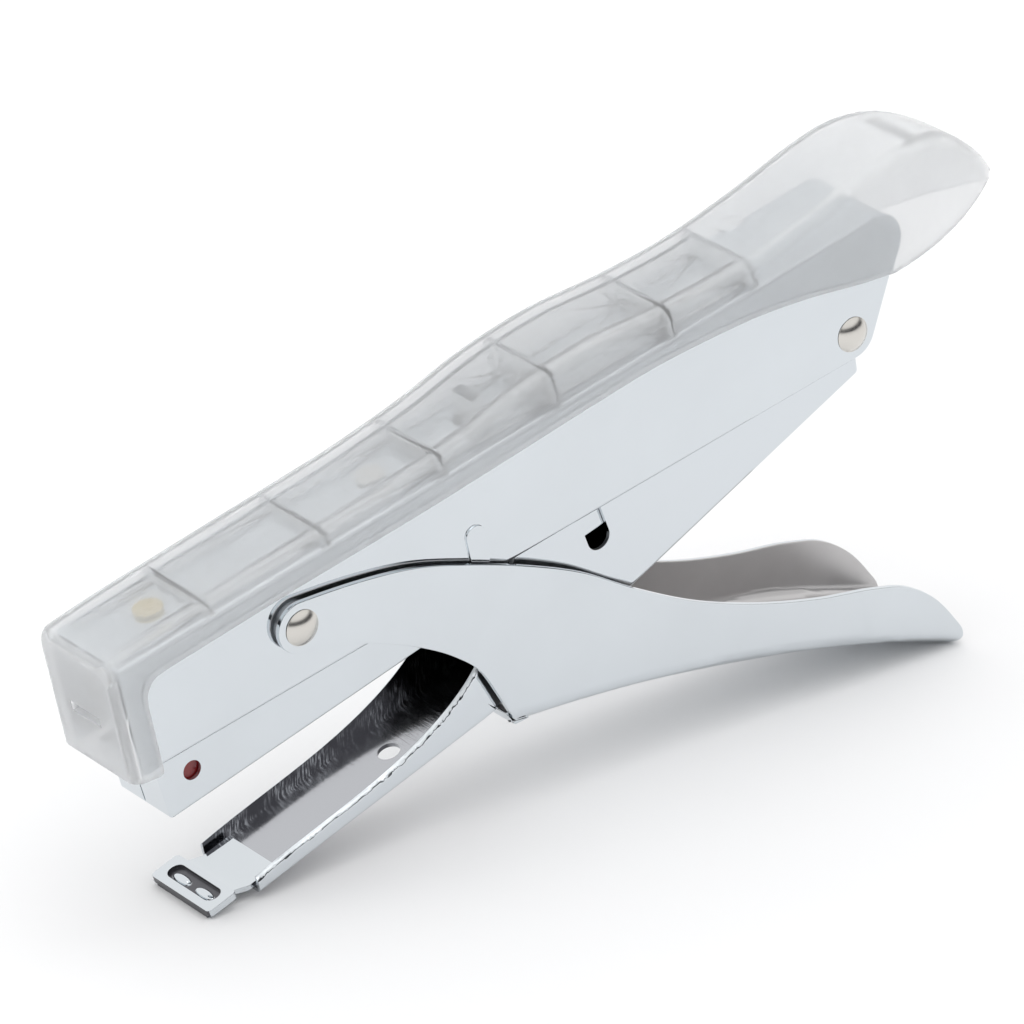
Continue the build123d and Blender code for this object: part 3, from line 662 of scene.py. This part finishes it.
# ---- Pressed steel pieces that keep their CAD shape, with rounded edges ----
def bare_copy(node, name):
    """A copy of a CAD node's mesh without its materials, in the stapler's own millimetres."""
    piece = bpy.data.objects.new(name, frame["nodes"][node].data.copy())
    bpy.context.scene.collection.objects.link(piece)
    piece.data.materials.clear()
    piece.data.transform(TO_WORLD.inverted())
    return piece


def mark_edges(piece):
    """Give the cut edges of the arm's side walls the second material."""
    for face in piece.data.polygons:
        if abs(face.center.y) > ARM_INNER and abs(face.normal.y) < 0.75 and face.normal.z > 0.1:
            face.material_index = 1


def round_copy(node, name, body, material, width=0.1, second=None):
    """A copy of a CAD node's mesh with its sharp edges rounded."""
    piece = bare_copy(node, name)
    if "custom_normal" in piece.data.attributes:
        piece.data.attributes.remove(piece.data.attributes["custom_normal"])
    clean(piece, 0.8, 0.004)
    soften(piece, width, 32)
    if second:
        mark_edges(piece)
    fit_in(piece, node, material, body, second)


# ---- Clinching plate on the front of the arm ----
def slab(name, low, high, corner, steps=8):
    """A block with rounded upright corners."""
    centre_x, centre_y = (low[0] + high[0]) / 2, (low[1] + high[1]) / 2
    reach_x, reach_y = (high[0] - low[0]) / 2 - corner, (high[1] - low[1]) / 2 - corner
    ring = []
    for quarter, (side_x, side_y) in enumerate(((1, 1), (-1, 1), (-1, -1), (1, -1))):
        x = centre_x + side_x * reach_x
        y = centre_y + side_y * reach_y
        turns = [pi / 2 * (quarter + k / steps) for k in range(steps + 1)]
        ring += [(x + corner * cos(a), y + corner * sin(a)) for a in turns]
    return loft(name, [[(x, y, z) for x, y in ring] for z in (low[2], high[2])])


def bead(x, y, z, radii, steps=12):
    """A small rounded lump."""
    turns = [2 * pi * k / 24 for k in range(24)]
    rings = []
    for i in range(steps + 1):
        rise = pi * (i / steps - 0.5) * 0.98
        wide = radii[0] * cos(rise)
        high = radii[2] * cos(rise)
        rings.append([(x + wide * cos(a), y + radii[1] * sin(rise), z + high * sin(a)) for a in turns])
    return loft("bead", rings)


def mark_pocket(plate):
    """Give the pocket, without its beads, and the plate's front edge the second material, a near-black metal
    colour that is painted shade.
    """
    for face in plate.data.polygons:
        x, y, z = face.center
        on_bead = ((x - BEAD_X) / 0.78) ** 2 + ((abs(y) - BEAD_Y) / 1.95) ** 2 < 1
        over_pocket = POCKET_REAR < x < POCKET_FRONT and abs(y) < POCKET_HALF + 0.02
        in_pocket = over_pocket and PLATE_TOP - POCKET_DEPTH - 0.02 < z < PLATE_TOP - 0.1
        if (in_pocket and not on_bead) or (face.normal.x > 0.6 and x > 118.6):
            face.material_index = 1


def make_clinching_plate():
    """A raised head with one long pocket, in which two low beads part the staple's legs."""
    plate = slab("clinching_plate", (113.9, -6.8, 1.45), (118.8, 6.8, PLATE_TOP), 0.7)
    combine(plate, prism(PLATE_NECK, -5.4, 5.4), "UNION")
    combine(plate, slab("lip", (118.0, -6.0, 0.95), (118.8, 6.0, 2.0), 0.3), "UNION")
    floor = PLATE_TOP - POCKET_DEPTH
    pocket = (POCKET_REAR, -POCKET_HALF, floor), (POCKET_FRONT, POCKET_HALF, PLATE_TOP + 1)
    combine(plate, slab("pocket", *pocket, 1.25))
    for side in (-1, 1):
        combine(plate, bead(BEAD_X, side * BEAD_Y, floor, BEAD_RADII), "UNION")
    clean(plate, 0.3)
    soften(plate, 0.07)
    mark_pocket(plate)
    lean = Matrix.Rotation(atan2(ARM_FALL, ARM_RUN), 4, "Y") @ Matrix.Translation((-ARM_END[0], 0, 0))
    plate.data.transform(Matrix.Translation((ARM_END[0], 0, ARM_END[1] + 0.62)) @ lean)
    fit_in(plate, "anvil_plate", CHROME, "arm", POCKET_PAINTED_SHADE)


# ---- Rivets ----
def make_rivet(name, node, x, z, face, body):
    """A shank with a domed head on each side, its rim a little clear of the plate."""
    sphere = (HEAD_RADIUS**2 + HEAD_HEIGHT**2) / (2 * HEAD_HEIGHT)
    dome = []
    for i in range(13):
        r = max(HEAD_RADIUS * 0.97 * i / 12, 0.02)
        dome.append((r, face + HEAD_HEIGHT - sphere + sqrt(sphere**2 - r**2)))
    rim = [(HEAD_RADIUS, face + 0.06), (HEAD_RADIUS * 0.985, face + 0.01), (HEAD_RADIUS * 0.86, face)]
    half = dome + rim + [(SHANK, face)]
    profile = [(r, -y) for r, y in half] + [(r, y) for r, y in reversed(half)]
    piece = lathe(name, x, z, profile)
    soften(piece, 0, 40)
    fit_in(piece, node, RIVET, body)


# ---- Springs ----
def helix(radius, pitch, turns):
    """Points of a helix along +X, as (along, across, up)."""
    angles = [2 * pi * i / COIL_STEPS for i in range(turns * COIL_STEPS + 1)]
    return [(pitch * a / (2 * pi), radius * cos(a), radius * sin(a)) for a in angles]


def make_pusher_spring():
    """The long coil round the guide rod. The real coil closes up as the pusher goes back; this one keeps its
    length and is fixed to the magazine's body.
    """
    lean = Matrix.Rotation(radians(MAG_TILT), 4, "Y")
    points = helix(SPRING_RADIUS, (SPRING_FRONT - SPRING_REAR) / SPRING_COILS, SPRING_COILS)
    path = [lean @ Vector((SPRING_REAR + along, across, up + ROD_Z)) for along, across, up in points]
    piece = tube("pusher_coil_spring", path, SPRING_WIRE, 8)
    soften(piece, 0, 60)
    fit_in(piece, "pusher_spring", STEEL, "magazine")
    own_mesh(piece)


def make_jaw_spring():
    """A torsion spring round the rear bush: one leg under the frame's top, one on the arm's floor."""
    width = 2 * COIL_WIRE * 1.06 * COIL_TURNS
    half = width / 2
    path = [Vector((30.0, half, 14.87 - FRAME_STEEL - COIL_WIRE - 0.2))]
    path += [Vector((x, half, 13.4 * (x - COIL_RADIUS) / 27.25)) for x in (22.0, 12.0, 5.0)]
    steps = COIL_TURNS * COIL_STEPS
    for i in range(steps + 1):
        a = 2 * pi * i / COIL_STEPS
        path.append(Vector((COIL_RADIUS * cos(a), half - width * i / steps, COIL_RADIUS * sin(a))))
    path += [Vector((x, -half, -15.1 * (x - COIL_RADIUS) / 31.25)) for x in (6.0, 14.0, 24.0, 34.0)]
    piece = tube("jaw_torsion_spring", path, COIL_WIRE, 10)
    soften(piece, 0, 60)
    fit_in(piece, "jaw_spring", STEEL)
    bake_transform(piece)


def make_leaf_spring():
    """The leaf under the frame's top that presses on the magazine."""
    piece = bare_copy("magazine_leaf_spring", "magazine_leaf")
    clean(piece)
    soften(piece, 0.06)
    fit_in(piece, "magazine_leaf_spring", STEEL)
    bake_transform(piece)


make_grip_cover()
make_lower_handle()
round_copy("top_frame", "pressed_top_frame", "frame", CHROME)
round_copy("magazine", "pressed_magazine", "magazine", CHROME, 0.08)
round_copy("anvil_arm", "pressed_anvil_arm", "arm", ARM_CHROME_PAINTED_SHADE_AND_GLINTS, 0, EDGE)
make_clinching_plate()
round_copy("pusher", "staple_pusher", "pusher", RED, 0.15)
make_rivet("front_rivet", "front_pivot_rivet", FRONT_X, FRONT_Z, 8.9, "frame")
make_rivet("rear_rivet", "rear_pivot_rivet", 0.0, 0.0, 7.42, "frame")
make_pusher_spring()
make_jaw_spring()
make_leaf_spring()


# ---- Floor, light and camera ----
def make_floor():
    mesh = bpy.data.meshes.new("floor")
    reach = 6.0
    corners = [(-reach, -reach, 0), (reach, -reach, 0), (reach, reach, 0), (-reach, reach, 0)]
    mesh.from_pydata(corners, [], [(0, 1, 2, 3)])
    floor = bpy.data.objects.new("floor", mesh)
    bpy.context.scene.collection.objects.link(floor)
    material, nodes, links, shader = new_material("floor_paper")
    pale = ((0.86, 0.86, 0.865), (0.88, 0.88, 0.885))
    tone = ramp(nodes, links, object_noise(nodes, links, 3.0), 0.3, 0.7, pale)
    links.new(tone, shader.inputs["Base Color"])
    shader.inputs["Roughness"].default_value = 0.9
    mesh.materials.append(material)


def add_area(name, place, target, width, height, power):
    light = bpy.data.lights.new(name, "AREA")
    light.shape = "RECTANGLE"
    light.size = width
    light.size_y = height
    light.energy = power
    lamp = bpy.data.objects.new(name, light)
    lamp.location = place
    lamp.rotation_euler = (Vector(target) - Vector(place)).to_track_quat("-Z", "Y").to_euler()
    bpy.context.scene.collection.objects.link(lamp)


def make_light():
    """An even white studio, dark beyond the table on the camera's side, and one large softbox."""
    world = bpy.data.worlds.new("studio")
    world.use_nodes = True
    nodes = world.node_tree.nodes
    links = world.node_tree.links
    band = ramp(nodes, links, axis_of(nodes, links, "Generated", "Z"), 0.0, DARK_BOTTOM, BLACK_WHITE)
    stops = band.node.color_ramp.elements
    stops.new(DARK_TOP).color = (1, 1, 1, 1)
    stops.new(DARK_TOP + DARK_FADE).color = (0, 0, 0, 1)
    near_side = nodes.new("ShaderNodeMapRange")
    near_side.inputs["From Min"].default_value = 0.05
    near_side.inputs["From Max"].default_value = 0.35
    links.new(axis_of(nodes, links, "Generated", "Y"), near_side.inputs["Value"])
    dark = combined(nodes, links, band, near_side.outputs["Result"])
    sky = ramp(nodes, links, dark, 0.0, 1.0, ((1.0, 1.0, 1.0), (0.04, 0.04, 0.045)))
    links.new(sky, nodes["Background"].inputs["Color"])
    nodes["Background"].inputs["Strength"].default_value = SKY_STRENGTH
    bpy.context.scene.world = world
    add_area("top_softbox", (0.1, 0.1, 0.9), (0, 0, 0.03), 0.9, 0.9, SOFTBOX_POWER)
    bpy.context.scene.view_settings.view_transform = "Standard"


def make_camera():
    azimuth = radians(CAMERA_AZIMUTH)
    elevation = radians(CAMERA_ELEVATION)
    back = Vector((sin(azimuth) * cos(elevation), -cos(azimuth) * cos(elevation), sin(elevation)))
    camera = bpy.data.objects.new("camera", bpy.data.cameras.new("camera"))
    camera.data.lens = CAMERA_LENS
    camera.data.sensor_width = 36.0
    camera.data.clip_end = 20.0
    roll = Matrix.Rotation(radians(-CAMERA_ROLL), 3, "Z").to_quaternion()
    camera.rotation_mode = "QUATERNION"
    camera.rotation_quaternion = (-back).to_track_quat("-Z", "Y") @ roll
    camera.location = Vector(CAMERA_TARGET) + back * CAMERA_DISTANCE
    bpy.context.scene.collection.objects.link(camera)
    bpy.context.scene.camera = camera


make_floor()
make_light()
make_camera()
